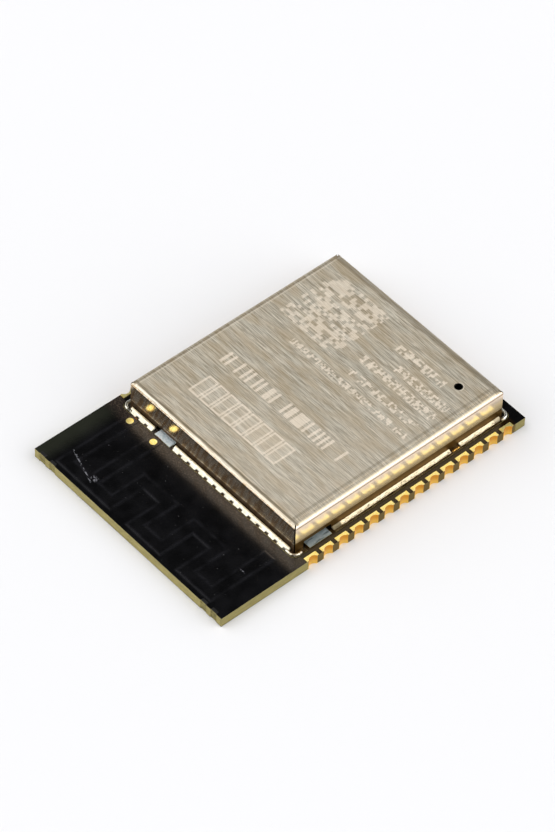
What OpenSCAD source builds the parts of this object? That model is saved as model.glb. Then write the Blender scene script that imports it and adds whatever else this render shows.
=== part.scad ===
// A surface-mount radio module: a small circuit board with half-hole contacts on three
// edges, a meander antenna at one end and a folded metal shield can over its circuit.
// Millimetres. The origin is under the middle of the board, +Z up, the antenna towards -Y,
// and the first long row of contacts towards +X.

/* [Board] */
// Width of the board, across its two long contact rows
board_w = 18; // [17:0.1:24]
// Length of the board, from the antenna edge to the rear edge
board_l = 25.5; // [24.5:0.1:34]
// Thickness of the board, from the lower contact faces to the upper ones
board_t = 0.8; // [0.6:0.1:1.6]
// Thickness of the copper on each side
copper_t = 0.035; // [0.03:0.005:0.07]
// Thickness of the solder mask
mask_t = 0.02; // [0.01:0.005:0.03]
// Bare rim that the solder mask leaves around copper
mask_gap = 0.03; // [0.02:0.01:0.08]
// Radius of the small bites that its panel tabs left in the antenna edge
bite_r = 0.35; // [0.2:0.05:0.45]
// Depth of a bite
bite_depth = 0.15; // [0.05:0.05:0.2]
// Distance from a side of the board to the nearest bite
bite_inset = 0.75; // [0.5:0.05:1.5]
// Distance between the two bites of a pair
bite_pitch = 0.95; // [0.9:0.05:1.5]

/* [Contacts] */
// Distance between neighbouring contacts
contact_pitch = 1.27; // [1.1:0.01:1.35]
// Distance from the rear edge to the nearest contact of a long side
side_row_inset = 1.5; // [1.3:0.1:2.5]
// Least distance from a side of the board to the rear row's end contact
rear_row_inset = 3.2; // [1.5:0.1:6]
// Width of a contact's faces along the edge
contact_w = 0.95; // [0.8:0.05:1]
// Reach of a contact's upper face, inwards from the edge
upper_face_l = 0.35; // [0.3:0.01:0.5]
// Reach of a contact's lower face
lower_face_l = 0.9; // [0.6:0.05:1.4]
// Radius of a half hole, inside its plating
half_hole_r = 0.39; // [0.3:0.01:0.42]
// Depth of a half hole, from the edge inwards
half_hole_depth = 0.2; // [0.15:0.01:0.24]
// Thickness of the plating in a half hole
plating_t = 0.03; // [0.02:0.01:0.05]

/* [Underside] */
// Side of one square of the ground pad
ground_square = 0.9; // [0.6:0.1:1]
// Distance between the middles of its squares
ground_pitch = 1.4; // [1.2:0.1:1.6]
// Squares along each side of the ground pad
ground_squares = 3; // [2:1:3]

/* [Antenna] */
// Board kept clear for the antenna, in front of the shield can
antenna_zone_l = 6.9; // [6:0.1:8]
// Width of the antenna strip
strip_w = 0.8; // [0.5:0.05:1]
// Distance from the antenna edge to the strip
strip_edge_gap = 0.42; // [0.3:0.02:0.8]
// Distance from the +X side of the board to the strip's free end
free_end_side_gap = 1.5; // [1:0.1:2]
// Distance from the -X side of the board to the strip's ground leg
ground_side_gap = 1.7; // [1:0.1:2.5]
// Length of the folds, from outer edge to outer edge
fold_l = 3.48; // [2.5:0.02:4]
// Fold members between the feed leg and the free end
fold_members = 5; // [3:2:5]
// Distance from the last fold member to the feed leg
feed_step = 2.1; // [1.5:0.1:2.2]
// Distance from the feed leg to the ground leg
ground_step = 2.3; // [1.5:0.1:2.4]
// Distance from the shield can to the free end of the strip
free_end_gap = 1.35; // [1:0.05:2]
// Distance from the shield can to the middle of the two test pads
test_pad_gap = 0.85; // [0.7:0.05:1.2]
// Diameter of a test pad
test_pad_d = 0.5; // [0.3:0.02:0.5]
// Width of the lines that join the two legs to the circuit
line_w = 0.4; // [0.2:0.05:0.5]

/* [Shield can] */
// Height of the can above the board
can_h = 2.3; // [2.1:0.1:3.5]
// Thickness of its sheet
sheet_t = 0.2; // [0.1:0.01:0.25]
// Inside radius of its folds
fold_r = 0.05; // [0.02:0.01:0.2]
// Bare board on each side of the can
can_side_gap = 1.1; // [1:0.05:1.6]
// Bare board behind the can
can_rear_gap = 1; // [1:0.05:1.8]
// Opening of the seams at the can's upright corners
seam_gap = 0.08; // [0.04:0.01:0.12]
// Width of the coined rim round the lid
rim_w = 0.45; // [0.35:0.05:0.8]
// Depth of the coined rim below the middle of the lid
rim_depth = 0.03; // [0.01:0.01:0.06]
// Diameter of the small hole in the lid
lid_hole_d = 0.5; // [0.3:0.05:0.8]
// Distance from the lid hole to the side of the can
lid_hole_side = 2.12; // [1.5:0.02:4]
// Distance from the lid hole to the rear of the can
lid_hole_rear = 1.97; // [1.5:0.02:4]
// Height of the notches in the can's skirt
notch_h = 0.4; // [0.2:0.05:0.6]
// Width of the front notch, where the antenna feed goes in
front_notch_w = 1.95; // [1.6:0.05:2.2]
// Distance from the feed leg to the middle of the front notch
front_notch_shift = 0.25; // [0:0.05:0.4]
// Width of the notch in the can's +X side
side_notch_w = 2.3; // [1.6:0.05:2.6]
// Distance from the can's front to the middle of the side notch
side_notch_y = 1.9; // [1.6:0.05:4]
// Bare board at each end of the land that lies in a notch
notch_land_gap = 0.25; // [0.15:0.01:0.4]

/* [Soldering] */
// Width of the ground ring outside the can
ring_out = 0.4; // [0.3:0.01:0.45]
// Width of the ground ring inside the can
ring_in = 0.2; // [0.1:0.05:0.3]
// Radius of the ring's outer corners
ring_corner_r = 0.4; // [0.1:0.05:0.5]
// Height that the solder climbs up the can
solder_rise = 0.3; // [0.15:0.05:0.4]
// Height of the solder at its foot
solder_lip = 0.04; // [0.02:0.01:0.08]
// Radius of the solder's hollow face
solder_hollow_r = 0.5; // [0.35:0.05:1.5]
// Distance between the small gaps in the front solder's foot
scallop_pitch = 0.83; // [0.6:0.01:1.5]
// Radius of those gaps
scallop_r = 0.14; // [0.05:0.01:0.15]
// Distance from the can's rear to the break in the +X side's solder
solder_break_y = 4.2; // [2:0.1:8]
// Length of that break
solder_break_l = 0.75; // [0.3:0.05:2]

/* [Processor] */
// Side of the processor's square body
mcu_size = 5; // [4:0.1:6]
// Height of the processor's body
mcu_h = 0.8; // [0.6:0.05:1]
// Distance from the middle of the can to the middle of the processor
mcu_shift = 1; // [0.4:0.1:1.2]
// Room between the can's front wall and the processor
mcu_front_gap = 2.2; // [2.1:0.05:3]
// Least distance from a corner of its body to the nearest terminal
mcu_corner = 0.45; // [0.42:0.01:0.8]
// Distance between its terminals
mcu_pitch = 0.35; // [0.3:0.01:0.4]
// Width of a terminal
mcu_terminal_w = 0.18; // [0.12:0.01:0.22]
// Length of a terminal
mcu_terminal_l = 0.4; // [0.3:0.05:0.5]
// How far the terminals stand out below the body
mcu_terminal_t = 0.05; // [0.02:0.01:0.1]
// Side of the processor's exposed pad
mcu_pad = 3.4; // [2:0.1:3.7]
// Diameter of the round mark at its first terminal
mcu_mark_d = 0.6; // [0.3:0.1:1]
// Depth of that mark
mcu_mark_depth = 0.05; // [0.02:0.01:0.1]

/* [Memory] */
// Size of the memory's body across its leads
flash_w = 5.3; // [3.9:0.1:5.5]
// Length of the memory's body along its leads
flash_l = 5.2; // [4.9:0.1:5.5]
// Height of the memory's body
flash_h = 1.5; // [1:0.1:1.6]
// Slope of its sides, above and below the leads
flash_draft = 0.12; // [0.05:0.01:0.2]
// Gap under the memory's body
flash_standoff = 0.1; // [0.05:0.01:0.15]
// Reach of a lead beyond the body
lead_l = 1.3; // [0.9:0.05:1.4]
// Length of a lead's foot
lead_foot_l = 0.6; // [0.4:0.05:0.7]
// Width of a lead
lead_w = 0.42; // [0.3:0.02:0.5]
// Thickness of a lead
lead_t = 0.18; // [0.12:0.01:0.22]
// Distance between leads
lead_pitch = 1.27; // [1:0.01:1.3]
// Leads on each side of the memory
leads_a_side = 4; // [3:1:4]
// Room between the processor and the memory
flash_gap = 1.5; // [1.4:0.05:2.4]

/* [Crystal and chips] */
// Length of the crystal, away from the processor
crystal_l = 2; // [1.6:0.1:2.5]
// Width of the crystal
crystal_w = 1.6; // [1.2:0.1:2]
// Height of the crystal's base
crystal_base_h = 0.35; // [0.25:0.05:0.5]
// Height of the crystal's lid
crystal_lid_h = 0.12; // [0.08:0.01:0.2]
// Rim of the crystal's base around its lid
crystal_rim = 0.12; // [0.08:0.01:0.2]
// Length of each of the crystal's four lands
crystal_land_l = 0.65; // [0.4:0.05:0.7]
// Width of each of those lands
crystal_land_w = 0.5; // [0.3:0.05:0.55]
// Length of a small chip capacitor, inductor or resistor
chip_l = 1; // [0.8:0.05:1.1]
// Width of a small chip
chip_w = 0.5; // [0.3:0.05:0.55]
// Height of a chip capacitor or inductor
chip_h = 0.5; // [0.3:0.05:0.55]
// Height of a chip resistor
resistor_h = 0.35; // [0.2:0.05:0.4]
// Length of a chip's metal end
chip_end_l = 0.25; // [0.15:0.05:0.3]
// How far a metal end stands out round its chip
chip_end_rim = 0.015; // [0.005:0.005:0.03]
// Room between a chip and its neighbours
chip_gap = 0.3; // [0.2:0.05:0.4]
// Length of the large supply capacitor
bulk_l = 2; // [1.6:0.1:2.2]
// Width of the large supply capacitor
bulk_w = 1.25; // [0.8:0.05:1.4]
// Height of the large supply capacitor
bulk_h = 1.25; // [0.8:0.05:1.4]
// How far a land reaches past the metal end or terminal that is soldered to it
land_rim = 0.08; // [0.04:0.01:0.1]

/* [Hidden] */

$fn = 48;
cut = 0.5; // how far a cutting tool runs past what it cuts

// Levels of the board's layers
core_bottom = copper_t;
core_top = board_t - copper_t;
circuit_z = board_t;

// The can's outline, from the board's edges
can_w = board_w - 2 * can_side_gap;
can_front = -board_l / 2 + antenna_zone_l;
can_rear = board_l / 2 - can_rear_gap;
can_l = can_rear - can_front;
can_mid = (can_front + can_rear) / 2;
can_top = circuit_z + can_h;
fold_out = fold_r + sheet_t;
inner_front = can_front + sheet_t;

// The contacts that each row has room for
side_contacts = floor((board_l - side_row_inset - antenna_zone_l) / contact_pitch) + 1;
rear_contacts = floor((board_w - 2 * rear_row_inset) / contact_pitch) + 1;

// The antenna's members: the folds share the width between the feed leg and the free end
free_end_x = board_w / 2 - free_end_side_gap - strip_w / 2;
ground_x = -board_w / 2 + ground_side_gap + strip_w / 2;
feed_x = ground_x + ground_step;
last_fold_x = feed_x + feed_step;
fold_pitch = (free_end_x - last_fold_x) / (fold_members - 1);
outer_bar_y = -board_l / 2 + strip_edge_gap + strip_w / 2;
inner_bar_y = outer_bar_y + fold_l - strip_w;
leg_end_y = can_front - test_pad_gap;

// The notches in the can's skirt, and the lands in them
front_notch_x = feed_x + front_notch_shift;
side_notch_mid = can_front + side_notch_y;
front_land_w = front_notch_w - 2 * notch_land_gap;
side_land_w = side_notch_w - 2 * notch_land_gap;
land_out = ring_out - 2 * mask_gap;
land_in = sheet_t + ring_in;

// The circuit's places inside the can
mcu_terminals_a_side = floor((mcu_size - 2 * mcu_corner - mcu_terminal_w) / mcu_pitch) + 1;
mcu_x = -mcu_shift;
mcu_y = inner_front + mcu_front_gap + mcu_size / 2;
mcu_rear = mcu_y + mcu_size / 2;
flash_y = mcu_rear + flash_gap + flash_l / 2;
crystal_gap = 2 * chip_gap + land_rim;
crystal_x = mcu_x + mcu_size / 2 + crystal_gap + crystal_l / 2;
chip_step = chip_w + 2 * chip_gap + 2 * chip_end_rim;
chip_run = chip_l + chip_gap + 2 * land_rim;
feed_chip_x = front_notch_x;
feed_chip_y = inner_front + ring_in + chip_gap + land_rim + chip_l / 2;

// Each chip is [x, y, angle, length, width, height]
function small_chip(x, y, angle, h) = [x, y, angle, chip_l, chip_w, h];
capacitor_column_x = mcu_x - mcu_size / 2 - 2 * chip_gap - land_rim - chip_w / 2;
crystal_chips_x = crystal_x + crystal_l / 2 + chip_gap + land_rim + chip_w / 2;
flash_side = flash_w / 2 + lead_l + land_rim + chip_gap;
CAPACITORS = concat(
    [for (i = [0 : 2]) small_chip(capacitor_column_x, mcu_y + (i - 0.5) * chip_run, 90, chip_h)],
    [for (i = [-0.5, 0.5]) small_chip(crystal_chips_x, mcu_y + i * chip_run, 90, chip_h)],
    [for (i = [-1 : 1]) small_chip(-flash_side - chip_w / 2, flash_y + i * chip_run, 90, chip_h)],
    [small_chip(feed_chip_x + chip_step, feed_chip_y, 90, chip_h)],
    [[flash_side + bulk_w / 2, flash_y, 90, bulk_l, bulk_w, bulk_h]]);
INDUCTORS = [for (x = [feed_chip_x, feed_chip_x + 2 * chip_step])
    small_chip(x, feed_chip_y, 90, chip_h)];
RESISTORS = [for (i = [-1 : 1])
    small_chip(mcu_x + i * chip_run, mcu_rear + flash_gap / 2, 0, resistor_h)];

// The solder stops short of the can's open corner seams
solder_inset = seam_gap + sheet_t;

// ---- Places where a shape is repeated ----

// Runs its children at each contact of one edge, with +X pointing out of the board
module at_side_contacts(side) {
    for (i = [0 : side_contacts - 1])
        translate([side * board_w / 2, board_l / 2 - side_row_inset - i * contact_pitch, 0])
            rotate([0, 0, side > 0 ? 0 : 180])
                children();
}

module at_rear_contacts() {
    for (i = [0 : rear_contacts - 1])
        translate([(i - (rear_contacts - 1) / 2) * contact_pitch, board_l / 2, 0])
            rotate([0, 0, 90])
                children();
}

module at_all_contacts() {
    at_side_contacts(1) children();
    at_side_contacts(-1) children();
    at_rear_contacts() children();
}

// Runs its children at each edge of a square component, with +X pointing out of it
module at_four_sides() {
    for (angle = [0 : 90 : 270])
        rotate([0, 0, angle])
            children();
}

module at_mcu_terminals() {
    at_four_sides()
        for (i = [0 : mcu_terminals_a_side - 1])
            translate([mcu_size / 2 - mcu_terminal_l,
                       (i - (mcu_terminals_a_side - 1) / 2) * mcu_pitch - mcu_terminal_w / 2, 0])
                children();
}

module at_flash_leads() {
    for (angle = [0, 180])
        rotate([0, 0, angle])
            for (i = [0 : leads_a_side - 1])
                translate([flash_w / 2, (i - (leads_a_side - 1) / 2) * lead_pitch, 0])
                    children();
}

// ---- Flat outlines ----

// The half hole of a contact, as cut to a given radius round the hole's middle
module half_hole(radius) {
    translate([half_hole_r - half_hole_depth, 0])
        circle(r = radius);
}

module bites() {
    for (side = [-1, 1], i = [0, 1])
        translate([side * (board_w / 2 - bite_inset - i * bite_pitch),
                   -board_l / 2 - bite_r + bite_depth])
            circle(r = bite_r);
}

// The board's outline, with its half holes and bites
module board_outline() {
    difference() {
        square([board_w, board_l], center = true);
        at_all_contacts() half_hole(half_hole_r + plating_t);
        bites();
    }
}

module rounded_rectangle(w, l, r) {
    square([w - 2 * r, l], center = true);
    square([w, l - 2 * r], center = true);
    for (x = [-1, 1], y = [-1, 1])
        translate([x * (w / 2 - r), y * (l / 2 - r)])
            circle(r = r);
}

// The breaks that the two notch lands need in the ground ring
module ring_breaks() {
    translate([front_notch_x - front_notch_w / 2, can_front - ring_out - cut])
        square([front_notch_w, ring_out + sheet_t + ring_in + 2 * cut]);
    translate([can_w / 2 - sheet_t - ring_in - cut, side_notch_mid - side_notch_w / 2])
        square([ring_out + sheet_t + ring_in + 2 * cut, side_notch_w]);
}

// The ground ring under the can's wall, grown by a rim on both sides
module ring_outline(rim) {
    difference() {
        translate([0, can_mid])
            difference() {
                rounded_rectangle(can_w + 2 * (ring_out + rim), can_l + 2 * (ring_out + rim),
                                  ring_corner_r + rim);
                square([can_w - 2 * (sheet_t + ring_in + rim),
                        can_l - 2 * (sheet_t + ring_in + rim)], center = true);
            }
        ring_breaks();
    }
}

// The lands in the skirt's notches, grown by a rim
module notch_land_outlines(rim) {
    translate([front_notch_x - front_land_w / 2 - rim, can_front - land_out - rim])
        square([front_land_w + 2 * rim, land_out + land_in + 2 * rim]);
    translate([can_w / 2 - land_in - rim, side_notch_mid - side_land_w / 2 - rim])
        square([land_out + land_in + 2 * rim, side_land_w + 2 * rim]);
}

// A straight stretch of strip between two places, with square ends
module strip(from, to, width, rim) {
    low = [min(from.x, to.x), min(from.y, to.y)];
    high = [max(from.x, to.x), max(from.y, to.y)];
    reach = width / 2 + rim;
    translate([low.x - reach, low.y - reach])
        square([high.x - low.x + 2 * reach, high.y - low.y + 2 * reach]);
}

// A line that runs along Y with flush ends, grown by a rim at its sides alone
module line(x, from_y, to_y, rim) {
    translate([x - line_w / 2 - rim, from_y])
        square([line_w + 2 * rim, to_y - from_y]);
}

// The whole antenna, from the free end to its two legs
module antenna_outline(rim) {
    strip([free_end_x, outer_bar_y], [free_end_x, can_front - free_end_gap - strip_w / 2],
          strip_w, rim);
    for (i = [1 : fold_members - 1])
        strip([free_end_x - i * fold_pitch, outer_bar_y],
              [free_end_x - i * fold_pitch, inner_bar_y], strip_w, rim);
    for (i = [0 : fold_members - 2]) {
        bar_y = i % 2 == 0 ? outer_bar_y : inner_bar_y;
        strip([free_end_x - i * fold_pitch, bar_y],
              [free_end_x - (i + 1) * fold_pitch, bar_y], strip_w, rim);
    }
    strip([ground_x, outer_bar_y], [last_fold_x, outer_bar_y], strip_w, rim);
    for (x = [feed_x, ground_x])
        strip([x, outer_bar_y], [x, leg_end_y], strip_w, rim);
    line(feed_x, leg_end_y, can_front - land_out, rim);
    line(ground_x, leg_end_y, can_front - ring_out, rim);
}

module test_pad_outlines(rim) {
    for (x = [feed_x, ground_x])
        translate([x, leg_end_y])
            circle(d = test_pad_d + 2 * rim);
}

// The squares of the ground pad on the underside
module ground_pad_outline(rim) {
    for (i = [0 : ground_squares - 1], j = [0 : ground_squares - 1])
        translate([mcu_x + (i - (ground_squares - 1) / 2) * ground_pitch,
                   mcu_y + (j - (ground_squares - 1) / 2) * ground_pitch])
            square(ground_square + 2 * rim, center = true);
}

// A contact's face on one side of the board, cut by the half hole
module contact_face(reach) {
    difference() {
        translate([-reach, -contact_w / 2])
            square([reach, contact_w]);
        half_hole(half_hole_r);
    }
}

// ---- Lands under the components ----

// The two lands of a chip that lies along its own X axis
module chip_land_outlines(chip, rim) {
    translate([chip[0], chip[1]])
        rotate(chip[2])
            for (side = [-1, 1])
                translate([side * (chip[3] / 2 - chip_end_l / 2), 0])
                    square([chip_end_l + 2 * (land_rim + rim),
                            chip[4] + 2 * (chip_end_rim + rim)], center = true);
}

module crystal_land_outlines(rim) {
    for (x = [-1, 1], y = [-1, 1])
        translate([crystal_x + x * (crystal_l - crystal_land_l) / 2,
                   mcu_y + y * (crystal_w - crystal_land_w) / 2])
            square([crystal_land_l + 2 * rim, crystal_land_w + 2 * rim], center = true);
}

module flash_land_outlines(rim) {
    translate([0, flash_y])
        at_flash_leads()
            translate([lead_l - lead_foot_l - rim, -lead_w / 2 - rim])
                square([lead_foot_l + land_rim + 2 * rim, lead_w + 2 * rim]);
}

module mcu_pad_outline(rim) {
    translate([mcu_x, mcu_y])
        square(mcu_pad + 2 * rim, center = true);
}

module mcu_land_outlines() {
    translate([mcu_x, mcu_y])
        at_mcu_terminals()
            square([mcu_terminal_l + land_rim, mcu_terminal_w]);
}

// One opening in the mask for each row of the processor's terminals
module mcu_row_openings() {
    row_l = (mcu_terminals_a_side - 1) * mcu_pitch + mcu_terminal_w + 2 * mask_gap;
    translate([mcu_x, mcu_y])
        at_four_sides()
            translate([mcu_size / 2 - mcu_terminal_l - mask_gap, -row_l / 2])
                square([mcu_terminal_l + land_rim + 2 * mask_gap, row_l]);
}

module component_openings() {
    for (chip = concat(CAPACITORS, INDUCTORS, RESISTORS))
        chip_land_outlines(chip, mask_gap);
    crystal_land_outlines(mask_gap);
    flash_land_outlines(mask_gap);
    mcu_pad_outline(mask_gap);
    mcu_row_openings();
}

// ---- The board and its copper ----

module board_core() {
    color("darkkhaki")
        translate([0, 0, core_bottom])
            linear_extrude(height = core_top - core_bottom)
                board_outline();
}

// The mask lies on the core and rises over the antenna strip beneath it
module mask_top() {
    color("#141416")
        difference() {
            union() {
                translate([0, 0, core_top])
                    linear_extrude(height = mask_t)
                        board_outline();
                translate([0, 0, core_top])
                    linear_extrude(height = copper_t + mask_t)
                        antenna_outline(mask_t);
            }
            translate([0, 0, core_top - cut])
                linear_extrude(height = cut + copper_t)
                    antenna_outline(0);
            translate([0, 0, core_top - cut])
                linear_extrude(height = 2 * cut) {
                    at_all_contacts()
                        translate([-upper_face_l - mask_gap, -contact_w / 2 - mask_gap])
                            square([upper_face_l + mask_gap + cut, contact_w + 2 * mask_gap]);
                    ring_outline(mask_gap);
                    notch_land_outlines(mask_gap);
                    test_pad_outlines(0);
                    component_openings();
                }
        }
}

module mask_bottom() {
    color("#141416")
        translate([0, 0, core_bottom - mask_t])
            linear_extrude(height = mask_t)
                difference() {
                    board_outline();
                    at_all_contacts()
                        translate([-lower_face_l - mask_gap, -contact_w / 2 - mask_gap])
                            square([lower_face_l + mask_gap + cut, contact_w + 2 * mask_gap]);
                    ground_pad_outline(mask_gap);
                }
}

module antenna_strip() {
    color("peru")
        translate([0, 0, core_top])
            linear_extrude(height = copper_t)
                antenna_outline(0);
}

// Two round openings in the mask, filled up with plating
module test_pads() {
    color("gold")
        translate([0, 0, circuit_z])
            linear_extrude(height = mask_t)
                test_pad_outlines(0);
}

// A contact wraps the edge: a face above, a face below and the plated half hole between
module contact() {
    translate([0, 0, core_top])
        linear_extrude(height = copper_t)
            contact_face(upper_face_l);
    linear_extrude(height = copper_t)
        contact_face(lower_face_l);
    linear_extrude(height = board_t)
        difference() {
            intersection() {
                half_hole(half_hole_r + plating_t);
                translate([-upper_face_l, -contact_w / 2])
                    square([upper_face_l, contact_w]);
            }
            half_hole(half_hole_r);
        }
}

module contacts_left() {
    color("gold")
        at_side_contacts(-1) contact();
}

module contacts_right() {
    color("gold")
        at_side_contacts(1) contact();
}

module contacts_rear() {
    color("gold")
        at_rear_contacts() contact();
}

module ground_pad() {
    color("gold")
        linear_extrude(height = copper_t)
            ground_pad_outline(0);
}

module ground_ring() {
    color("goldenrod")
        translate([0, 0, core_top])
            linear_extrude(height = copper_t)
                ring_outline(0);
}

module notch_lands() {
    color("lightsteelblue")
        translate([0, 0, core_top])
            linear_extrude(height = copper_t)
                notch_land_outlines(0);
}

module component_lands() {
    color("gold")
        translate([0, 0, core_top])
            linear_extrude(height = copper_t) {
                for (chip = concat(CAPACITORS, INDUCTORS, RESISTORS))
                    chip_land_outlines(chip, 0);
                crystal_land_outlines(0);
                flash_land_outlines(0);
                mcu_pad_outline(0);
                mcu_land_outlines();
            }
}

// ---- The circuit ----

module mcu_body() {
    mark_at = -mcu_size / 2 + mcu_mark_d;
    color("dimgray")
        translate([mcu_x, mcu_y, circuit_z + mcu_terminal_t])
            difference() {
                translate([-mcu_size / 2, -mcu_size / 2, 0])
                    cube([mcu_size, mcu_size, mcu_h]);
                translate([mark_at, mark_at, mcu_h - mcu_mark_depth])
                    cylinder(d = mcu_mark_d, h = mcu_mark_depth + cut);
            }
}

module mcu_terminals() {
    color("silver")
        translate([mcu_x, mcu_y, circuit_z])
            linear_extrude(height = mcu_terminal_t) {
                at_mcu_terminals()
                    square([mcu_terminal_l, mcu_terminal_w]);
                square(mcu_pad, center = true);
            }
}

// The moulded body is widest at its leads and narrows above and below them
module flash_body() {
    wide = flash_w / 2;
    narrow = wide - flash_draft;
    low = (flash_h - lead_t) / 2;
    high = (flash_h + lead_t) / 2;
    profile = [[-narrow, 0], [narrow, 0], [wide, low], [wide, high],
               [narrow, flash_h], [-narrow, flash_h], [-wide, high], [-wide, low]];
    color("dimgray")
        translate([0, flash_y + flash_l / 2, circuit_z + flash_standoff])
            rotate([90, 0, 0])
                linear_extrude(height = flash_l)
                    polygon(profile);
}

// A lead leaves the body level, bends down and ends in a flat foot on its land
module lead() {
    top = flash_standoff + flash_h / 2 + lead_t / 2;
    shoulder = (lead_l - lead_foot_l) / 2;
    knee = lead_l - lead_foot_l;
    profile = [[0, top], [shoulder, top], [knee + lead_t / 2, lead_t], [lead_l, lead_t],
               [lead_l, 0], [knee - lead_t / 2, 0], [shoulder - lead_t / 2, top - lead_t],
               [0, top - lead_t]];
    translate([0, lead_w / 2, 0])
        rotate([90, 0, 0])
            linear_extrude(height = lead_w)
                polygon(profile);
}

module flash_leads() {
    color("silver")
        translate([0, flash_y, circuit_z])
            at_flash_leads() lead();
}

module crystal_base() {
    color("wheat")
        translate([crystal_x - crystal_l / 2, mcu_y - crystal_w / 2, circuit_z])
            cube([crystal_l, crystal_w, crystal_base_h]);
}

module crystal_lid() {
    color("silver")
        translate([crystal_x - crystal_l / 2 + crystal_rim, mcu_y - crystal_w / 2 + crystal_rim,
                   circuit_z + crystal_base_h])
            cube([crystal_l - 2 * crystal_rim, crystal_w - 2 * crystal_rim, crystal_lid_h]);
}

// A chip's body lies between its two metal ends
module chip_bodies(chips) {
    for (chip = chips)
        translate([chip[0], chip[1], circuit_z + chip_end_rim])
            rotate([0, 0, chip[2]])
                translate([-chip[3] / 2 + chip_end_l, -chip[4] / 2, 0])
                    cube([chip[3] - 2 * chip_end_l, chip[4], chip[5]]);
}

module chip_ends(chips) {
    for (chip = chips)
        translate([chip[0], chip[1], circuit_z])
            rotate([0, 0, chip[2]])
                for (side = [-1, 1])
                    translate([side * (chip[3] - chip_end_l) / 2 - chip_end_l / 2,
                               -chip[4] / 2 - chip_end_rim, 0])
                        cube([chip_end_l, chip[4] + 2 * chip_end_rim, chip[5] + 2 * chip_end_rim]);
}

module capacitor_bodies() {
    color("tan") chip_bodies(CAPACITORS);
}

module capacitor_ends() {
    color("silver") chip_ends(CAPACITORS);
}

module inductor_bodies() {
    color("steelblue") chip_bodies(INDUCTORS);
}

module inductor_ends() {
    color("silver") chip_ends(INDUCTORS);
}

module resistor_bodies() {
    color("#202020") chip_bodies(RESISTORS);
}

module resistor_ends() {
    color("silver") chip_ends(RESISTORS);
}

// ---- The shield can ----

// Section of a can of one width: upright sides and a flat top with rounded shoulders
module can_section(width, height, shoulder_r) {
    translate([-width / 2, 0])
        square([width, height - shoulder_r]);
    translate([-width / 2 + shoulder_r, 0])
        square([width - 2 * shoulder_r, height]);
    for (side = [-1, 1])
        translate([side * (width / 2 - shoulder_r), height - shoulder_r])
            circle(r = shoulder_r);
}

// Two sections crossed at right angles, so that the folds meet in a mitre at each corner
module can_block(w, l, height, shoulder_r) {
    intersection() {
        translate([0, l / 2, 0])
            rotate([90, 0, 0])
                linear_extrude(height = l)
                    can_section(w, height, shoulder_r);
        translate([-w / 2, 0, 0])
            rotate([90, 0, 90])
                linear_extrude(height = w)
                    can_section(l, height, shoulder_r);
    }
}

// The middle of the lid, raised from its coined rim
module lid_middle(inset) {
    middle_w = can_w - 2 * (rim_w + inset);
    middle_l = can_l - 2 * (rim_w + inset);
    translate([-middle_w / 2, -middle_l / 2, 0])
        cube([middle_w, middle_l, rim_depth + sheet_t]);
}

// The open seam that the folded sheet leaves at each upright corner
module corner_seams() {
    for (x = [-1, 1], y = [-1, 1])
        translate([x * (can_w / 2 - fold_out), y * (can_l / 2 - fold_out), -cut])
            rotate([0, 0, atan2(y, x)])
                translate([0, -seam_gap / 2, 0])
                    cube([fold_out * sqrt(2) + cut, seam_gap, can_h + 2 * cut]);
}

module skirt_notches() {
    translate([front_notch_x - front_notch_w / 2, can_front - cut, circuit_z - cut])
        cube([front_notch_w, sheet_t + 2 * cut, notch_h + cut]);
    translate([can_w / 2 - sheet_t - cut, side_notch_mid - side_notch_w / 2, circuit_z - cut])
        cube([sheet_t + 2 * cut, side_notch_w, notch_h + cut]);
}

module shield_can() {
    rim_h = can_h - rim_depth;
    color("rosybrown")
        difference() {
            translate([0, can_mid, circuit_z])
                difference() {
                    union() {
                        can_block(can_w, can_l, rim_h, fold_out);
                        translate([0, 0, rim_h - sheet_t])
                            lid_middle(0);
                    }
                    translate([0, 0, -cut])
                        can_block(can_w - 2 * sheet_t, can_l - 2 * sheet_t,
                                  rim_h - sheet_t + cut, fold_r);
                    translate([0, 0, rim_h - 2 * sheet_t])
                        lid_middle(sheet_t);
                    corner_seams();
                }
            skirt_notches();
            translate([can_w / 2 - lid_hole_side, can_rear - lid_hole_rear, can_top - sheet_t - cut])
                cylinder(d = lid_hole_d, h = sheet_t + 2 * cut);
        }
}

// ---- The solder along the can's skirt ----

// Section of the solder: a hollow face from the lip at its foot to the top of its rise
module solder_section() {
    foot = [ring_out, solder_lip];
    top = [0, solder_rise];
    half_chord = norm(foot - top) / 2;
    outward = [top.y - foot.y, foot.x - top.x] / (2 * half_chord);
    reach = sqrt(solder_hollow_r * solder_hollow_r - half_chord * half_chord);
    centre = (foot + top) / 2 + outward * reach;
    difference() {
        square([ring_out, solder_rise]);
        translate(centre)
            circle(r = solder_hollow_r);
    }
}

// A run of solder along +Y, against a wall in the plane x = 0
module solder_run(from_y, to_y) {
    translate([0, to_y, 0])
        rotate([90, 0, 0])
            linear_extrude(height = to_y - from_y)
                solder_section();
}

module solder_front() {
    low_x = -can_w / 2 + solder_inset;
    high_x = can_w / 2 - solder_inset;
    color("whitesmoke")
        translate([0, can_front, circuit_z])
            difference() {
                rotate([0, 0, -90]) {
                    solder_run(low_x, front_notch_x - front_notch_w / 2);
                    solder_run(front_notch_x + front_notch_w / 2, high_x);
                }
                for (x = [low_x + scallop_pitch : scallop_pitch : high_x - scallop_pitch / 2])
                    translate([x, -ring_out, -cut])
                        cylinder(r = scallop_r, h = solder_rise + 2 * cut);
            }
}

module solder_rear() {
    color("whitesmoke")
        translate([0, can_rear, circuit_z])
            rotate([0, 0, 90])
                solder_run(-can_w / 2 + solder_inset, can_w / 2 - solder_inset);
}

module solder_left() {
    color("whitesmoke")
        translate([-can_w / 2, can_mid, circuit_z])
            rotate([0, 0, 180])
                solder_run(-can_l / 2 + solder_inset, can_l / 2 - solder_inset);
}

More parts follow.
